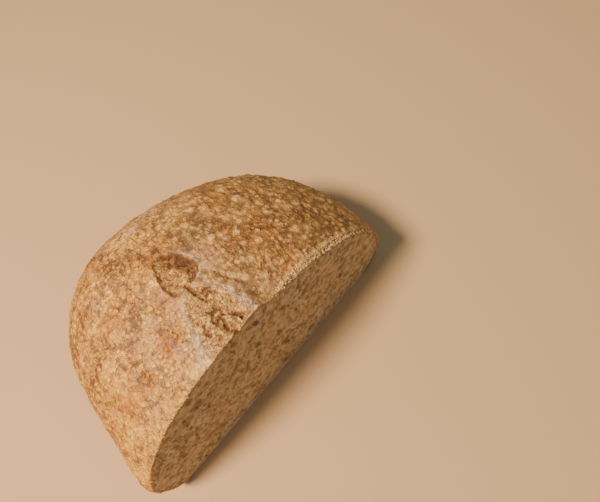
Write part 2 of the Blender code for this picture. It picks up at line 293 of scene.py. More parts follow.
def layered(p, pitch, seed, layers=3, keep=0.55):
    """Lumps of several sizes, each finer than the last."""
    total = np.zeros(p.shape[:-1])
    weight = 0.0
    for k in range(layers):
        total += keep ** k * lumps(p, pitch / 2.03 ** k, seed + 17 * k)
        weight += keep ** k
    return total / weight


def spots(p, rows):
    """Strength of soft round spots in a field of points."""
    strongest = np.zeros(p.shape[:-1])
    for x, behind, z, reach, strength in rows:
        distance = np.linalg.norm(p - on_loaf(x, behind, z), axis=-1) / (reach * MM)
        strongest = np.maximum(strongest, strength * np.exp(-(distance / 0.9) ** 2))
    return strongest


def score_relief(x, y, wander, torn):
    """Height and marks of the opened score: its torn floor, deeper side, wall and raised rim."""
    score = inside_depth(x, y, SCORE_OUTLINE) + wander
    outside = np.minimum(score, 0)
    deep_side = line_distance(x, y, SCORE_DEEP_SIDE)
    toward_deep = step(deep_side, 0.0095, 0.0022)
    floor = SCORE_DEPTH * (0.22 + 0.78 * toward_deep) + 0.0006 * step(score, 0.001, 0.006) - 0.0013 * torn
    floor = floor * step(score, -0.0005, 0.0016)
    rim = SCORE_RIM * step(score, 0.0006, -0.0010) * np.exp(outside / 0.0050)
    beside_deep = step(deep_side, 0.0060, 0.0015)
    marks = {
        "score": step(score, -0.0002, 0.0009),
        "deep": step(deep_side + 0.8 * wander, 0.0070, 0.0024) * step(score, -0.0002, 0.0006),
        "rim": step(score, 0.0003, -0.0006) * np.exp(outside / 0.0040) * (0.4 + 0.6 * beside_deep),
        # Band along the score's wall, later painted dark as a shadow line
        "wall": np.exp(-((score - 0.0004) / 0.0007) ** 2),
    }
    return rim - floor, marks


def tear_relief(p, x, y, wander, torn):
    """Height and marks of the torn crumb, its raised edge and the lower crust beyond that edge."""
    tear = inside_depth(x, y, TEAR_OUTLINE) + 1.3 * wander
    inside = step(tear, -0.0008, 0.003)
    rough = 0.5 + 0.5 * lumps(p, 0.0052, 5)
    fold = layered(p + 0.0016 * lumps(p, 0.003, 51)[..., None], 0.0048, 61, 2)
    # Splits in the torn dough, lowered here and later darkened as painted shade
    split_and_shade = step(np.abs(fold), 0.11, 0.0)
    strongest = step(np.hypot(x + 0.004, (y - 0.012) * 0.8), 0.015, 0.005)
    height = TEAR_RISE * (0.25 + 0.95 * rough) + 0.0011 * torn - 0.0010 * split_and_shade * (0.4 + 0.8 * strongest)
    height = height * inside

    edge = line_distance(x, y, TEAR_EDGE) + 0.4 * wander
    side = np.interp(y, [-0.004, 0.0115, 0.021, 0.0305], [0.0086, 0.0076, 0.006, 0.0016])
    drop = TEAR_STEP * step(y, 0.036, 0.0) * step(edge, -0.0005, 0.0130) * step(x, 0.062, 0.006)
    height = height - np.where((x > side) & (tear < 0), drop, 0)
    height = height + 0.0009 * np.exp(-(edge / 0.0030) ** 2) * step(y, 0.034, 0.024)
    ridge_width = 0.0012 + 0.0014 * step(y, 0.03, 0.0)
    marks = {
        "tear": step(tear, -0.0004, 0.0010),
        "split_and_shade": 0.7 * split_and_shade * (0.25 + 0.75 * strongest) * inside,
        "ridge": np.exp(-(edge / ridge_width) ** 2) * step(y, 0.036, 0.026),
    }
    return height, marks


def cracks(p, x, y, wander):
    """How dark the painted shade in the cracks is and how deep the cracks are at each point, between 0 and
    1.
    """
    width = 0.0008 + 0.0008 * step(y, 0.024, 0.031)
    dark = step(line_distance(x, y, MAIN_CRACK) + wander * 0.5, width, 0.3 * width) * 0.8
    deep = dark
    broken = np.clip(1.05 + 0.7 * layered(p, 0.003, 33), 0, 1)
    for line in FINE_CRACKS:
        groove = broken * step(line_distance(x, y, line) + wander * 0.7, 0.0012, 0.0004)
        dark = np.maximum(dark, groove)
        deep = np.maximum(deep, 0.55 * groove)
    return dark, deep


def main_relief(p):
    """Relief of the score, the tear and the cracks, with what each point belongs to."""
    x, y, z = p[..., 0] - CUT_X, p[..., 1] - CUT_Y, p[..., 2]
    crown = step(z, 0.080, 0.095)
    wander = 0.0007 * layered(p, 0.004, 31)
    torn = layered(p, 0.0030, 41, 3, 0.7)
    score_height, marks = score_relief(x, y, wander, torn)
    tear_height, tear_marks = tear_relief(p, x, y, wander, torn)
    marks.update(tear_marks)
    dark, deep = cracks(p, x, y, wander)
    marks["split_and_shade"] = np.maximum(dark, marks["split_and_shade"])
    height = CRUST_UNEVENNESS * (lumps(p, 0.011, 1) + 0.6 * lumps(p, 0.006, 2))
    height = height + (score_height + tear_height - CRACK_DEPTH * deep) * crown
    return height, {key: value * crown for key, value in marks.items()}


def feed(target, value):
    """Give a node's input the output of another node or a plain value."""
    if isinstance(value, bpy.types.NodeSocket):
        target.id_data.links.new(value, target)
    else:
        target.default_value = value


def material(name, roughness):
    """A new material with its shader and a helper that adds nodes and feeds their inputs."""
    mat = bpy.data.materials.new(name)
    mat.use_nodes = True
    tree = mat.node_tree
    shader = tree.nodes["Principled BSDF"]
    shader.inputs["Roughness"].default_value = roughness

    def add(kind, **values):
        node = tree.nodes.new(kind)
        for key, value in values.items():
            if key.startswith("in_"):
                place = key[3:]
                feed(node.inputs[int(place) if place.isdigit() else place], value)
            else:
                setattr(node, key, value)
        return node

    return mat, shader, add


def colour(r, g, b):
    """Linear colour from sRGB values of 0 to 255."""
    out = []
    for value in (r, g, b):
        value = value / 255
        out.append(value / 12.92 if value <= 0.04045 else ((value + 0.055) / 1.055) ** 2.4)
    return (*out, 1)


def mixed(add, factor, first, second):
    """Colour mix of two sources, each an output or a colour."""
    return add("ShaderNodeMix", data_type="RGBA", in_0=factor, in_6=first, in_7=second).outputs[2]


def ramp(add, source, low, high):
    """Smooth 0 to 1 between two values of a source."""
    node = add("ShaderNodeMapRange", interpolation_type="SMOOTHSTEP", in_0=source, in_1=low, in_2=high)
    return node.outputs[0]


def product(add, first, second):
    """Product of two sources or of a source and a number."""
    return add("ShaderNodeMath", operation="MULTIPLY", in_0=first, in_1=second).outputs[0]


def attribute(add, name):
    """Value that the mesh carries at each point."""
    return add("ShaderNodeAttribute", attribute_name=name).outputs["Fac"]


def noise(add, place, scale, detail=3.0, rough=0.55):
    """Noise value between 0 and 1."""
    node = add("ShaderNodeTexNoise", in_Vector=place, in_Scale=scale, in_Detail=detail, in_Roughness=rough)
    return node.outputs["Fac"]


def bent(add, place, scale, reach):
    """Coordinates pushed about by noise, so that cells lose their straight sides."""
    push = add("ShaderNodeTexNoise", in_Vector=place, in_Scale=scale, in_Detail=2.0).outputs["Color"]
    centred = add("ShaderNodeVectorMath", operation="SUBTRACT", in_0=push, in_1=(0.5, 0.5, 0.5))
    scaled = add("ShaderNodeVectorMath", operation="SCALE", in_0=centred.outputs[0], in_3=reach)
    return add("ShaderNodeVectorMath", operation="ADD", in_0=place, in_1=scaled.outputs[0]).outputs[0]


def wrinkles(add, place, scale, width):
    """Thin winding lines, 1 on the line and 0 away from it."""
    centred = add("ShaderNodeMath", operation="SUBTRACT", in_0=noise(add, place, scale, 2.0, 0.6), in_1=0.5)
    away = add("ShaderNodeMath", operation="ABSOLUTE", in_0=centred.outputs[0])
    return ramp(add, away.outputs[0], width, 0.0)


def total(add, start, parts):
    """A number plus sources, each with its weight."""
    result = start
    for source, weight in parts:
        node = add("ShaderNodeMath", operation="MULTIPLY_ADD", in_0=source, in_1=weight, in_2=result)
        result = node.outputs[0]
    return result


def shades(add, source, *rows):
    """Colour that follows a source through rows of a place and an sRGB colour."""
    node = add("ShaderNodeValToRGB", in_0=source)
    stops = node.color_ramp.elements
    while len(stops) < len(rows):
        stops.new(0.5)
    for stop, (place, r, g, b) in zip(stops, rows):
        stop.position = place
        stop.color = colour(r, g, b)
    return node.outputs[0]


def pebbles(add, place, scale):
    """Rounded tops of scattered cells, each as strong as its own random tone."""
    cell = add("ShaderNodeTexVoronoi", feature="F1", in_Vector=place, in_Scale=scale)
    top = ramp(add, cell.outputs["Distance"], 0.62, 0.28)
    return product(add, top, ramp(add, cell.outputs["Color"], 0.15, 0.85))


def surface(add, shader, base, height, strength, depth):
    """Give the shader its colour and its fine relief."""
    bump = add("ShaderNodeBump", in_Height=height, in_Strength=strength, in_Distance=depth)
    feed(shader.inputs["Base Color"], base)
    feed(shader.inputs["Normal"], bump.outputs[0])


def baked_colour(add, relief, speck):
    """Baked crust: light or brown, with orange patches, pale blisters and flour."""
    light = shades(add, relief, (0.0, 110, 64, 22), (0.13, 138, 84, 31), (0.32, 190, 121, 43),
                   (0.50, 221, 147, 48), (0.68, 240, 170, 57), (0.87, 252, 194, 76))
    dark = shades(add, relief, (0.0, 112, 72, 33), (0.18, 128, 83, 38), (0.40, 151, 99, 44),
                  (0.58, 172, 115, 50), (0.74, 196, 134, 60), (0.90, 222, 161, 84))
    rusty = shades(add, relief, (0.10, 116, 58, 11), (0.45, 168, 87, 11), (0.85, 204, 117, 19))
    powder = shades(add, relief, (0.0, 130, 78, 32), (0.18, 174, 112, 52), (0.5, 214, 153, 86),
                    (0.85, 240, 186, 118))
    dusty = product(add, attribute(add, "flour"), ramp(add, speck, 0.30, 0.62))
    base = mixed(add, attribute(add, "brown"), light, dark)
    base = mixed(add, attribute(add, "orange"), base, rusty)
    base = mixed(add, attribute(add, "blister"), base, colour(234, 171, 94))
    return mixed(add, product(add, dusty, 0.78), base, powder)


def torn_colour(add, soft, middle, fine, crease):
    """Torn dough, darker on the deep wall of the score, with painted shade in its creases and folds."""
    crinkle = total(add, -0.56, [(fine, 0.95), (middle, 1.15)])
    inside = shades(add, crinkle, (0.16, 118, 66, 27), (0.40, 194, 128, 60), (0.70, 240, 182, 104))
    wall = shades(add, crinkle, (0.20, 54, 30, 14), (0.46, 98, 58, 27), (0.74, 160, 104, 54))
    inside = mixed(add, product(add, attribute(add, "deep"), 0.9), inside, wall)
    # Painted shade in the creases of the torn dough
    inside = mixed(add, product(add, crease, 0.6), inside, colour(90, 50, 20))
    # Painted shade along thin winding folds
    return mixed(add, product(add, wrinkles(add, soft, 190, 0.030), 0.45), inside, colour(96, 54, 24))


def crust_material():
    """Golden-brown crust with pale blisters, floury bloom, orange patches and torn dough, with painted shade
    in its cracks and a painted shadow along the score's wall.
    """
    mat, shader, add = material("baked_crust", 0.6)
    place = add("ShaderNodeTexCoord").outputs["Object"]
    soft = bent(add, place, 420, 0.0024)
    wide = noise(add, place, 70, 3, 0.6)
    middle = noise(add, soft, 260, 3, 0.6)
    fine = noise(add, place, 760, 3, 0.65)
    speck = noise(add, place, 1200, 2, 0.5)
    large = pebbles(add, soft, 330)
    small = pebbles(add, soft, 760)
    crease = wrinkles(add, soft, 330, 0.07)
    relief = total(add, -1.42, [(large, 0.40), (small, 0.33), (middle, 1.42), (fine, 0.85), (wide, 0.95),
                                (attribute(add, "cream"), 0.15), (attribute(add, "brown"), 0.04)])

    base = baked_colour(add, relief, speck)
    base = mixed(add, attribute(add, "inside"), base, torn_colour(add, soft, middle, fine, crease))
    dusted = product(add, attribute(add, "bloom"), ramp(add, speck, 0.22, 0.5))
    base = mixed(add, dusted, base, shades(add, relief, (0.05, 160, 114, 80), (0.50, 230, 183, 142)))
    crumbs = total(add, -0.6, [(fine, 1.0), (speck, 1.2)])
    crumbs = shades(add, crumbs, (0.25, 140, 90, 42), (0.75, 238, 182, 106))
    spread = ramp(add, total(add, -0.35, [(attribute(add, "crumbs"), 1.0), (speck, 0.7)]), 0.25, 0.60)
    base = mixed(add, spread, base, crumbs)
    # Painted shade in the cracks and splits, and a painted shadow line along the score's wall
    base = mixed(add, attribute(add, "split_and_shade"), base, colour(92, 46, 16))
    base = mixed(add, attribute(add, "rind"), base, colour(150, 98, 54))

    floury = total(add, 0.0, [(attribute(add, "flour"), 1.0), (attribute(add, "inside"), 1.0)])
    dull = add("ShaderNodeMapRange", in_0=floury, in_1=0.0, in_2=1.0, in_3=0.52, in_4=0.9)
    feed(shader.inputs["Roughness"], dull.outputs[0])
    swelling = total(add, 0.0, [(large, 0.8), (small, 0.35), (middle, 0.7), (fine, 0.15)])
    folds = total(add, 0.4, [(middle, 1.0), (fine, 0.5), (crease, -0.5)])
    swelling = mixed(add, attribute(add, "inside"), swelling, folds)
    calmer = total(add, 1.0, [(attribute(add, "brown"), -0.4)])
    surface(add, shader, base, product(add, swelling, calmer), 1.0, 0.0009)
    return mat


def crumb_material():
    """Golden-tan crumb, paler on the walls, with painted shade inside the pores."""
    mat, shader, add = material("bread_crumb", 0.8)
    place = add("ShaderNodeTexCoord").outputs["Object"]
    place = add("ShaderNodeVectorMath", operation="MULTIPLY", in_0=place, in_1=(1.0, 1.0, 0.70)).outputs[0]
    wide = noise(add, place, 60, 4)
    fine = noise(add, place, 620, 3, 0.6)
    swirl = noise(add, bent(add, place, 90, 0.008), 260, 3, 0.6)
    open_texture = total(add, -1.10, [(fine, 1.3), (swirl, 1.9)])
    base = shades(add, open_texture, (0.10, 115, 83, 47), (0.42, 170, 136, 90), (0.80, 208, 179, 133))
    base = mixed(add, product(add, ramp(add, wide, 0.35, 0.7), 0.3), base, colour(182, 142, 92))
    base = mixed(add, product(add, attribute(add, "pale"), 0.35), base, colour(212, 180, 130))
    # Painted shade inside the pores
    base = mixed(add, product(add, attribute(add, "pore_shade"), 0.65), base, colour(152, 102, 53))
    base = mixed(add, product(add, attribute(add, "sole"), 0.8), base, colour(232, 184, 138))
    base = mixed(add, product(add, attribute(add, "rind"), 0.6), base, colour(164, 116, 70))
    surface(add, shader, base, fine, 0.4, 0.0003)
    return mat


def underside_material():
    """Baked underside with pale flour."""
    mat, shader, add = material("baked_underside", 0.8)
    place = add("ShaderNodeTexCoord").outputs["Object"]
    wide = noise(add, place, 45, 5)
    fine = noise(add, place, 500, 3, 0.6)
    base = mixed(add, ramp(add, wide, 0.3, 0.7), colour(170, 116, 68), colour(200, 150, 100))
    base = mixed(add, product(add, ramp(add, fine, 0.45, 0.7), 0.5), base, colour(226, 194, 150))
    base = mixed(add, product(add, attribute(add, "flour"), 0.8), base, colour(236, 190, 140))
    base = mixed(add, product(add, attribute(add, "split_and_shade"), 0.7), base, colour(120, 76, 40))
    surface(add, shader, base, fine, 0.4, 0.0003)
    return mat


def crumb_grain_material():
    """Pale grains of crumb."""
    mat, shader, add = material("crumb_grains", 0.85)
    fine = noise(add, add("ShaderNodeTexCoord").outputs["Object"], 500, 2)
    base = mixed(add, ramp(add, fine, 0.35, 0.65), colour(196, 138, 76), colour(236, 180, 110))
    feed(shader.inputs["Base Color"], base)
    return mat


def placed(name, data):
    """A new object in the scene."""
    item = bpy.data.objects.new(name, data)
    bpy.context.scene.collection.objects.link(item)
    return item


def finished(name, points, faces, values, mat):
    data = bpy.data.meshes.new(name)
    data.from_pydata(points.tolist(), [], faces)
    for key, value in values.items():
        layer = data.attributes.new(key, "FLOAT", "POINT")
        layer.data.foreach_set("value", np.ascontiguousarray(value, dtype=np.float32))
    data.materials.append(mat)
    data.polygons.foreach_set("use_smooth", [True] * len(data.polygons))
    data.update()
    piece = placed(name, data)
    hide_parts("bread_half")
    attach(piece, "root")


def extended(values, extra, full=()):
    """Grids of values as rows with extra ones behind them, 1 for the names in full and otherwise 0."""
    rows = {}
    for key, value in values.items():
        rows[key] = np.append(value.ravel(), np.full(extra, 1.0 if key in full else 0.0))
    return rows


def grid_faces(across, back, start=0):
    """Quads between the points of a grid, stored column by column."""
    i, j = np.meshgrid(np.arange(across), np.arange(back), indexing="ij")
    corner = (start + i * (back + 1) + j).ravel()
    quads = np.stack([corner, corner + back + 1, corner + back + 2, corner + 1], -1)
    return quads.tolist()


def grid_front(across, back):
    """Point numbers along the grid's side b = 0, from a = -1 to a = 1."""
    return [i * (back + 1) for i in range(across + 1)]


def grid_rim(across, back):
    """Point numbers along the grid's three outer sides, from a = -1 over b = 1 to a = 1."""
    left = list(range(back + 1))
    far = [i * (back + 1) + back for i in range(1, across + 1)]
    right = [across * (back + 1) + j for j in range(back - 1, -1, -1)]
    return left + far + right


def grid_loop(across, back):
    """Point numbers once round the grid, ending where they began."""
    return grid_rim(across, back) + grid_front(across, back)[-2::-1]


def strip(first, second):
    """Quads between two rows of point numbers."""
    return [list(quad) for quad in zip(first[:-1], first[1:], second[1:], second[:-1])]


def disc_grid(across, back):
    """Radius and angle of an even grid over the half disc."""
    a, b = np.meshgrid(np.linspace(-1, 1, across + 1), np.linspace(0, 1, back + 1), indexing="ij")
    return half_disc(a, b)


def reach_at(angle, across, up):
    """Distance from the middle to an outline at an angle."""
    turn = np.arctan2(up, across)
    order = np.argsort(turn)
    return np.interp(angle, turn[order], np.hypot(across, up)[order])


def uneven_places(fine, weight, count):
    """Places along a line that lie closer together where the weight is greater."""
    run = np.concatenate([[0], np.cumsum((weight[1:] + weight[:-1]) / 2)])
    return np.interp(np.linspace(0, run[-1], count + 1), run, fine)


def along_crust(a, b):
    """Direction of the smooth crust toward greater a."""
    return dome(np.clip(a + SHIFT, -1, 1), b) - dome(np.clip(a - SHIFT, -1, 1), b)


def outward(a, b):
    """Outward direction of the smooth crust, which lies in the plane of the cut at b = 0."""
    away = dome(a, np.clip(b + SHIFT, 0, 1)) - dome(a, np.clip(b - SHIFT, 0, 1))
    normal = unit(np.cross(along_crust(a, b), away))
    if normal[CRUST_ACROSS // 2, CRUST_BACK // 2, 2] < 0:
        normal = -normal
    normal[np.isclose(b, 0), 1] = 0
    return unit(normal)


def crumbled_share(x, z):
    """How crumbled the cut's edge is at a place, which is only on the right and off the base."""
    return step(x, 0.012, 0.045) * step(z, 0.020, 0.045)


def edge_gap(x, z):
    """How far the crust stands back from the cut along the cut's edge, more where it crumbled."""
    p = np.stack([x, z, np.zeros_like(x)], -1)
    crumbled_gap = 0.0023 + 0.0011 * layered(p, 0.0036, 72)
    gap = 0.0004 + 0.0004 * layered(p, 0.004, 71) + crumbled_share(x, z) * crumbled_gap
    return np.maximum(gap, 0.0001)


def crust_grid():
    """Places of the crust's columns and rows, closer together round the score and the tear."""
    fine = np.linspace(-1, 1, 4001)
    across = uneven_places(fine, 1 + 0.7 * np.exp(-((fine + 0.05) / 0.17) ** 2), CRUST_ACROSS)
    across[np.abs(across).argmin()] = 0
    fine = np.linspace(0, 1, 2001)
    weight = 1 + 0.6 * np.exp(-(np.maximum(fine - 0.12, 0) / 0.2) ** 2)
    return across, uneven_places(fine, weight, CRUST_BACK)


def blisters(smooth, normal, across, back):
    """Lift and pale tone of the blisters at each point of the crust."""
    random = np.random.default_rng(11)
    middle_a = random.uniform(-1, 1, BLISTER_COUNT)
    middle_b = random.uniform(0, 1, BLISTER_COUNT)
    sizes = np.clip(random.lognormal(math.log(1.35), 0.38, BLISTER_COUNT), 0.7, 3.4) * MM
    turns = random.uniform(0, math.pi, BLISTER_COUNT)
    stretch = random.uniform(1.0, 1.6, BLISTER_COUNT)
    tones = random.uniform(0.0, 1.0, BLISTER_COUNT) ** 1.8
    column = np.searchsorted(across, middle_a).clip(1, CRUST_ACROSS - 1)
    row = np.searchsorted(back, middle_b).clip(0, CRUST_BACK)
    lift = np.zeros(smooth.shape[:2])
    tone = np.zeros(smooth.shape[:2])
    for number, (x, behind, z, size) in enumerate(LARGE_BLISTERS):
        away = np.linalg.norm(smooth - on_loaf(x, behind, z), axis=-1)
        column[number], row[number] = np.unravel_index(away.argmin(), away.shape)
        sizes[number], tones[number], stretch[number] = size * MM, 1.6, 1.2

    for k in np.argsort(sizes):
        i, j, size = column[k], row[k], sizes[k]
        span = int(size * 1.7 / CRUST_STEP) + 2
        area = (slice(max(i - span, 0), i + span + 1), slice(max(j - span, 0), j + span + 1))
        first = np.cross(normal[i, j], (math.cos(turns[k]), math.sin(turns[k]), 0.3))
        first /= np.linalg.norm(first)
        offset = smooth[area] - smooth[i, j]
        u = offset @ first / (size * stretch[k])
        v = offset @ np.cross(normal[i, j], first) / size
        rho = np.sqrt(u * u + v * v) * (1 + 0.24 * lumps(smooth[area], 0.0016, 91))
        swell = np.clip(1 - rho ** 2, 0, 1) ** 1.2 * size * 0.30
        lift[area] = np.maximum(lift[area], swell)
        tone[area] = np.maximum(tone[area], tones[k] * step(rho, 1.0, 0.45))
    return lift, tone


def flour_and_orange(smooth, torn, brown):
    """Flour and orange patches on the baked crust."""
    flour = spots(smooth, FLOUR_SPOTS)
    flour = np.clip(flour * (0.8 + 0.5 * layered(smooth, 0.008, 95)), 0, 1)
    loose = step(layered(smooth, 0.024, 97), 0.2, 0.55) * 0.4
    flour = np.maximum(flour, loose * step(smooth[..., 2], 0.02, 0.06)) * (1 - torn)
    orange = spots(smooth, ORANGE_SPOTS) * (0.8 + 0.4 * layered(smooth, 0.006, 96))
    orange = np.maximum(orange, 0.60 * step(layered(smooth, 0.019, 98), 0.05, 0.45)) * (1 - torn)
    orange = np.clip(orange, 0, 1) * (1 - 0.45 * brown)
    return flour * (1 - 0.9 * orange), orange


def white_bloom(smooth, marks, torn):
    """Bloom on the rim of the score, on the tear's raised edge and beside its low edge."""
    x, behind, z = smooth[..., 0] - CUT_X, smooth[..., 1] - CUT_Y, smooth[..., 2]
    bloom = np.clip(0.9 * marks["rim"] * step(behind, 0.062, 0.046) + 0.95 * marks["ridge"], 0, 1)
    patches = spots(smooth, BLOOM_SPOTS) * (0.6 + 0.7 * layered(smooth, 0.004, 105)) * (1 - torn)
    width = 0.0015 + 0.0036 * step(behind, 0.022, 0.004)
    band = np.exp(-(line_distance(x, behind, TEAR_LOW_EDGE) / width) ** 2) * step(z, 0.09, 0.1)
    bloom = np.maximum(np.maximum(bloom, patches), 0.85 * band)
    return np.clip(bloom * (0.8 + 0.4 * layered(smooth, 0.003, 99)), 0, 0.85)


def crumb_dust(smooth):
    """Crumb that sticks to the crust along the cut, more where the edge crumbled."""
    crumbled = step(smooth[..., 0], 0.004, 0.030) * step(smooth[..., 2], 0.020, 0.045)
    dust = step(smooth[..., 1] - CUT_Y, 0.0012 + 0.0034 * crumbled, 0.0)
    dust = dust * (0.55 + 0.45 * crumbled) * (1 + 0.9 * layered(smooth, 0.0028, 103))
    return np.clip(dust, 0, 0.95)


def closed_crust(points):
    """Rows and faces of the crust, with its recess at the cut, closed inside the sole."""
    rows = points.reshape(-1, 3)
    outline = points[:, 0]
    toward = np.array([CUT_X, 0, MIDDLE_HEIGHT]) - outline
    toward[:, 1] = 0
    toward /= np.linalg.norm(toward, axis=-1, keepdims=True)
    inner = outline + toward * RIND_WIDTH
    inner[:, 2] = np.maximum(inner[:, 2], 0.5 * SOLE_EDGE)
    deep = inner + toward * 0.002
    deep[:, 1] = CUT_Y + RECESS_DEPTH
    rim = grid_rim(CRUST_ACROSS, CRUST_BACK)
    tucked = rows[rim] + (np.array([CUT_X, CUT_Y + RECESS_DEPTH, 0]) - rows[rim]) * 0.03
    tucked[:, 2] = 0.6 * SOLE_EDGE

    edge = grid_front(CRUST_ACROSS, CRUST_BACK)
    numbers = list(range(len(rows), len(rows) + 2 * len(edge) + len(rim)))
    ring, floor, sole = numbers[:len(edge)], numbers[len(edge):2 * len(edge)], numbers[2 * len(edge):]
    faces = grid_faces(CRUST_ACROSS, CRUST_BACK)
    faces += strip(ring, edge) + strip(floor, ring) + [floor[::-1]] + strip(rim, sole)
    faces.append([rim[-1], ring[-1], floor[-1], sole[-1]])
    faces.append([ring[0], rim[0], sole[0], floor[0]])
    faces.append(sole + [floor[-1], floor[0]])
    return np.vstack([rows, inner, deep, tucked]), faces


def make_crust():
    """The crust over the dome, with a recess at the cut for the crumb."""
    across, back = crust_grid()
    a, b = np.meshgrid(across, back, indexing="ij")
    smooth = dome(a, b)
    normal = outward(a, b)
    height, marks = main_relief(smooth)
    torn = np.maximum(marks["score"], marks["tear"])
    brown = step(smooth[..., 0] - 0.12 * (smooth[..., 1] - CUT_Y - 0.03), -0.020, 0.014)
    brown = 0.06 + 0.88 * brown + 0.30 * layered(smooth, 0.016, 81) - 0.12 * spots(smooth, ORANGE_SPOTS)
    brown = np.clip(brown, 0, 1)
    flour, orange = flour_and_orange(smooth, torn, brown)
    lift, blister = blisters(smooth, normal, across, back)
    bare = 1 - np.clip(torn * 1.3 + marks["rim"] * 0.5, 0, 1)
    lift = lift * bare * (0.7 + 0.3 * brown)

    grain = 0.00012 * layered(smooth, 0.0016, 101, 2)
    fade = step(np.maximum(np.abs(a), b), 1.0, 0.94)
    points = smooth + normal * ((height + lift + grain) * fade)[..., None]
    gap = edge_gap(points[:, 0, 0], points[:, 0, 2])
    points[..., 1] += gap[:, None] * step(points[..., 1] - CUT_Y, 0.012, 0.0)
    points[..., 1] = np.maximum(points[..., 1], CUT_Y + 0.0001)
    rows, faces = closed_crust(np.clip(points, CAD_BOX[0], CAD_BOX[1]))

    values = {
        "brown": brown,
        "blister": np.clip(blister * bare * (0.28 + 0.52 * brown), 0, 0.9),
        "flour": flour,
        "orange": orange,
        "bloom": white_bloom(smooth, marks, torn),
        "inside": torn,
        "deep": marks["deep"],
        "crumbs": crumb_dust(smooth),
        "cream": step(smooth[..., 0], -0.045, -0.085) * step(smooth[..., 1] - CUT_Y, 0.060, 0.020),
        # Painted shade for the cracks and splits, with a painted shadow line along the score's wall
        "split_and_shade": np.clip(marks["split_and_shade"] * 0.85 + 0.66 * marks["wall"], 0, 0.9),
        "rind": np.zeros(a.shape),
    }
    finished("crust", rows, faces, extended(values, len(rows) - a.size, ["rind"]), crust_material())


def cut_outline():
    """Outline of the cut with the relief, as rows of x and z from the left base to the right base."""
    parts = [(-1, -0.3, 160), (-0.3, 0.3, 240), (0.3, 1, 160)]
    a = np.unique(np.concatenate([np.linspace(*part) for part in parts]))
    b = np.zeros_like(a)
    smooth = dome(a, b)
    along = along_crust(a, b)
    out = unit(np.stack([-along[:, 2], along[:, 0]], -1))
    height, _ = main_relief(smooth)
    height = height * step(np.abs(a), 1.0, 0.94)
    line = smooth[:, [0, 2]] + out * height[:, None]
    line[:, 1] = np.clip(line[:, 1], 0, LOAF_HEIGHT)
    return line


def pore_rows():
    """Pores of the cut as x, height, half length, half width and tilt, the smallest first."""
    random = np.random.default_rng(23)
    rows = []
    for x, z, half, narrow, tilt in LARGE_PORES:
        rows.append((x * MM, z * MM, half * MM, narrow * MM, math.radians(tilt)))
    px = random.uniform(-0.1, 0.1, PORE_COUNT)
    pz = random.uniform(0.001, 0.11, PORE_COUNT)
    size = np.clip(random.pareto(3.2, PORE_COUNT) * 0.50 + 0.36, 0.36, 2.6) * MM
    thin = random.uniform(0.45, 0.95, PORE_COUNT)
    spread = random.normal(0, 0.8, PORE_COUNT)
    for k in range(PORE_COUNT):
        flow = math.atan2(-(px[k] / 0.1) * 0.9, 0.35 + 0.65 * pz[k] / LOAF_HEIGHT)
        rows.append((px[k], pz[k], size[k], size[k] * thin[k], flow + spread[k]))
    return sorted(rows, key=lambda row: row[2])


def pore_field(x, z):
    """Depth of the pores and how much each point lies in one, over the cut face."""
    low_x, low_z = -0.104, -0.001
    wide, high = int(0.208 / PORE_STEP), int(0.114 / PORE_STEP)
    grid_x, grid_z = np.meshgrid(low_x + np.arange(wide) * PORE_STEP, low_z + np.arange(high) * PORE_STEP,
                                 indexing="ij")
    depth = np.zeros((wide, high))
    inside = np.zeros((wide, high))
    for cx, cz, half, narrow, tilt in pore_rows():
        reach = int(half * 1.75 / PORE_STEP) + 2
        i = int((cx - low_x) / PORE_STEP)
        j = int((cz - low_z) / PORE_STEP)
        area = (slice(max(i - reach, 0), i + reach + 1), slice(max(j - reach, 0), j + reach + 1))
        dx, dz = grid_x[area] - cx, grid_z[area] - cz
        u = (dx * math.cos(tilt) + 0.7 * dz * math.sin(tilt)) / half
        v = (-dx * math.sin(tilt) + 0.7 * dz * math.cos(tilt)) / narrow
        place = np.stack([grid_x[area], grid_z[area]], -1)
        rho = np.sqrt(u * u + v * v) + 0.36 * lumps(place + half, max(half * 0.6, 0.0006), 111)
        bowl = np.clip(1 - rho ** 2, 0, 1) ** 0.8 * min(narrow * 0.70, 0.0015)
        depth[area] = np.maximum(depth[area], bowl)
        inside[area] = np.maximum(inside[area], step(rho, 1.02, 0.8))
    fx = np.clip((x - low_x) / PORE_STEP, 0, wide - 2)
    fz = np.clip((z - low_z) / PORE_STEP, 0, high - 2)
    i, j = fx.astype(int), fz.astype(int)
    tx, tz = fx - i, fz - j

    def sample(field):
        lower = field[i, j] * (1 - tx) + field[i + 1, j] * tx
        upper = field[i, j + 1] * (1 - tx) + field[i + 1, j + 1] * tx
        return lower * (1 - tz) + upper * tz

    return sample(depth), sample(inside)


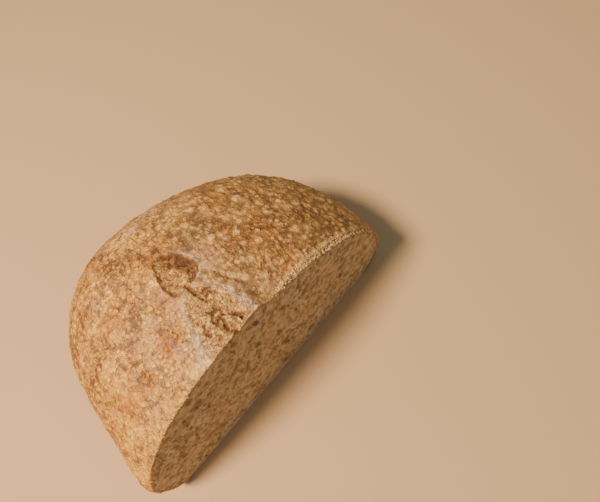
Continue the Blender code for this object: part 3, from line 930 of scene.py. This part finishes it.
def make_crumb():
    """The open crumb of the cut face."""
    radius, angle = disc_grid(CRUMB_ACROSS, CRUMB_BACK)
    line = cut_outline()
    reach = reach_at(angle, line[:, 0] - CUT_X, line[:, 1])
    crumbled = crumbled_share(reach * np.cos(angle), reach * np.sin(angle))
    inset = 0.0012 - 0.0009 * crumbled
    x = radius * (reach - inset) * np.cos(angle)
    z = radius * (reach - inset) * np.sin(angle)
    z = SOLE_EDGE + z * (1 - SOLE_EDGE / LOAF_HEIGHT)

    place = np.stack([x, z], -1)
    depth, inside = pore_field(x, z)
    walls = layered(place, 0.0022, 121, 3, 0.6)
    slow = layered(place, 0.016, 122, 2)
    rough_edge = layered(place, 0.0017, 123, 2, 0.7)
    flow = layered(place + 0.004 * slow[..., None], 0.0065, 124)
    from_edge = (1 - radius) * reach
    gap = edge_gap(reach * np.cos(angle) + CUT_X, reach * np.sin(angle))
    soft = np.clip(1 - from_edge / (0.0006 + 1.05 * gap), 0, 1)
    y = 0.00022 + 0.00022 * walls + 0.00018 * slow + depth
    y = y + gap * soft ** 1.3 + 0.0006 * rough_edge * crumbled * step(from_edge, 0.005, 0.0005)
    y = np.clip(y, 0, 0.006)
    rows = np.stack([x + CUT_X, CUT_Y + y, z], -1).reshape(-1, 3)

    loop = grid_loop(CRUMB_ACROSS, CRUMB_BACK)
    edge = rows[loop[:-1]]
    behind = edge + (np.array([CUT_X, 0, MIDDLE_HEIGHT]) - edge) * 0.035
    behind[:, 1] = CUT_Y + CRUMB_THICKNESS
    back = list(range(len(rows), len(rows) + len(behind)))
    faces = grid_faces(CRUMB_ACROSS, CRUMB_BACK) + strip(loop, back + back[:1]) + [back]
    values = {
        # Where painted shade goes inside the pores
        "pore_shade": inside * step(depth, 0.0001, 0.0010),
        "pale": step(flow, 0.05, 0.55),
        "rind": step(from_edge, 0.0014, 0.0002) * (1 - crumbled),
        "sole": step(z + 0.0007 * rough_edge, 0.0042, 0.0026),
    }
    rows = np.vstack([rows, behind])
    finished("crumb", rows, faces, extended(values, len(behind)), crumb_material())


def make_underside():
    """Thin baked sole of the loaf, rough below and ragged at the cut."""
    radius, angle = disc_grid(BASE_ACROSS, BASE_BACK)
    turn = np.linspace(0, math.pi, 361)
    edge_a = np.clip((math.pi / 2 - turn) / (math.pi / 4), -1, 1)
    edge_b = np.clip(np.minimum(turn, math.pi - turn) / (math.pi / 4), 0, 1)
    rim = dome(edge_a, edge_b)
    reach = reach_at(angle, rim[:, 0] - CUT_X, rim[:, 1] - CUT_Y) - 0.0005
    x = radius * reach * np.cos(angle)
    y = radius * reach * np.sin(angle)
    place = np.stack([x, y], -1)
    jag = layered(place, 0.0030, 131, 3, 0.7)
    y = y + (0.0004 + 0.0004 * jag) * step(y, 0.006, 0.0)
    y = np.maximum(y, 0.0001)
    rough = layered(place, 0.009, 132, 4, 0.6)
    rise = 0.00035 * np.clip(rough + 0.25, 0, 1) * step(radius, 1.0, 0.97)
    below = np.stack([x + CUT_X, y + CUT_Y, rise], -1)
    top = np.stack([x + CUT_X, y + CUT_Y, SOLE_EDGE + 0.0004 * jag], -1)
    rows = np.vstack([below.reshape(-1, 3), top.reshape(-1, 3)])

    half = radius.size
    faces = [face[::-1] for face in grid_faces(BASE_ACROSS, BASE_BACK)]
    faces += grid_faces(BASE_ACROSS, BASE_BACK, half)
    loop = grid_loop(BASE_ACROSS, BASE_BACK)
    for here, after in zip(loop[:-1], loop[1:]):
        faces.append([here, half + here, half + after, after])
    flour = np.maximum(step(layered(place, 0.02, 133, 3), -0.1, 0.45), step(y, 0.004, 0.001))
    split_and_shade = step(np.abs(layered(place, 0.013, 134, 3)), 0.05, 0.0) * 0.5
    values = {"flour": np.tile(flour.ravel(), 2), "split_and_shade": np.tile(split_and_shade.ravel(), 2)}
    finished("underside", rows, faces, values, underside_material())


def unit_ball():
    """Points and faces of a ball of radius 1."""
    ball = bmesh.new()
    bmesh.ops.create_icosphere(ball, subdivisions=2, radius=1.0)
    points = np.array([vert.co for vert in ball.verts])
    faces = [[vert.index for vert in face.verts] for face in ball.faces]
    ball.free()
    return points, faces


def make_edge_grains():
    """Loosened grains of crumb along the crumbled part of the cut's edge."""
    random = np.random.default_rng(37)
    line = cut_outline()
    ball_points, ball_faces = unit_ball()
    points, faces = [], []
    while len(points) < GRAIN_COUNT:
        x, z = at_share(line, random.uniform(0.01, 0.97))
        crumbled = crumbled_share(x, z)
        tip = step(x, -0.076, -0.090) * step(z, 0.030, 0.012)
        if random.uniform() > 0.10 + 0.90 * max(crumbled, tip):
            continue
        size = random.uniform(0.22, 0.62) * MM
        gap = edge_gap(x, z)
        away = random.uniform(0.0, 1.0) ** 1.6 * (gap + 0.0034 * crumbled + 0.0010 * tip)
        least, most = (0.0002, 0.0014) if away < gap else (-0.0001 - 0.0005 * tip, 0.0003)
        inward = random.uniform(least, most)
        toward = np.array([CUT_X - x, MIDDLE_HEIGHT - z])
        toward /= np.linalg.norm(toward)
        place = np.array([x + toward[0] * inward, CUT_Y + size + away, z + toward[1] * inward])
        bumps = 1 + 0.28 * lumps(ball_points * 0.9 + len(points) * 3.1, 0.8, 141)
        squash = random.uniform(0.6, 1.2, 3)
        start = len(points) * len(ball_points)
        points.append(ball_points * bumps[:, None] * squash * size + place)
        faces += [[start + k for k in face] for face in ball_faces]
    rows = np.clip(np.vstack(points), CAD_BOX[0], CAD_BOX[1])
    finished("edge_grains", rows, faces, {}, crumb_grain_material())


def make_floor():
    """Plain pale floor, just below the loaf."""
    mat, shader, _ = material("plain_floor", 0.75)
    shader.inputs["Base Color"].default_value = colour(212, 162, 110)
    data = bpy.data.meshes.new("floor")
    size, height = 3.0, -0.0002
    corners = [(-size, -size, height), (size, -size, height), (size, size, height), (-size, size, height)]
    data.from_pydata(corners, [], [(0, 1, 2, 3)])
    data.materials.append(mat)
    placed("floor", data)


def make_camera():
    """Camera at the photograph's angle."""
    data = bpy.data.cameras.new("camera")
    data.lens = 36.0
    data.sensor_width = 36.0
    camera = placed("camera", data)
    camera.location = VIEW_PLACE
    camera.rotation_euler = [math.radians(value) for value in VIEW_ANGLES]
    bpy.context.scene.camera = camera
    bpy.context.view_layer.update()


def area_light(name, direction, distance, size, energy, tint):
    """Soft light that shines on the loaf from a direction."""
    data = bpy.data.lights.new(name, "AREA")
    data.shape = "DISK"
    data.size = size
    data.energy = energy
    data.color = tint
    light = placed(name, data)
    way = Vector(direction).normalized()
    light.location = Vector((0, 0, 0.05)) + way * distance
    light.rotation_euler = (-way).to_track_quat("-Z", "Y").to_euler()


def make_lights():
    """Soft light from above the left end and an even room light."""
    area_light("key", (-0.46, 0.10, 0.88), 1.1, 0.25, 22.5, (1.0, 0.92, 0.78))
    world = bpy.data.worlds.new("room")
    world.use_nodes = True
    background = world.node_tree.nodes["Background"]
    background.inputs["Color"].default_value = (0.64, 0.85, 1.0, 1)
    background.inputs["Strength"].default_value = 0.38
    bpy.context.scene.world = world


make_camera()
make_crust()
make_crumb()
make_underside()
make_edge_grains()
make_floor()
make_lights()
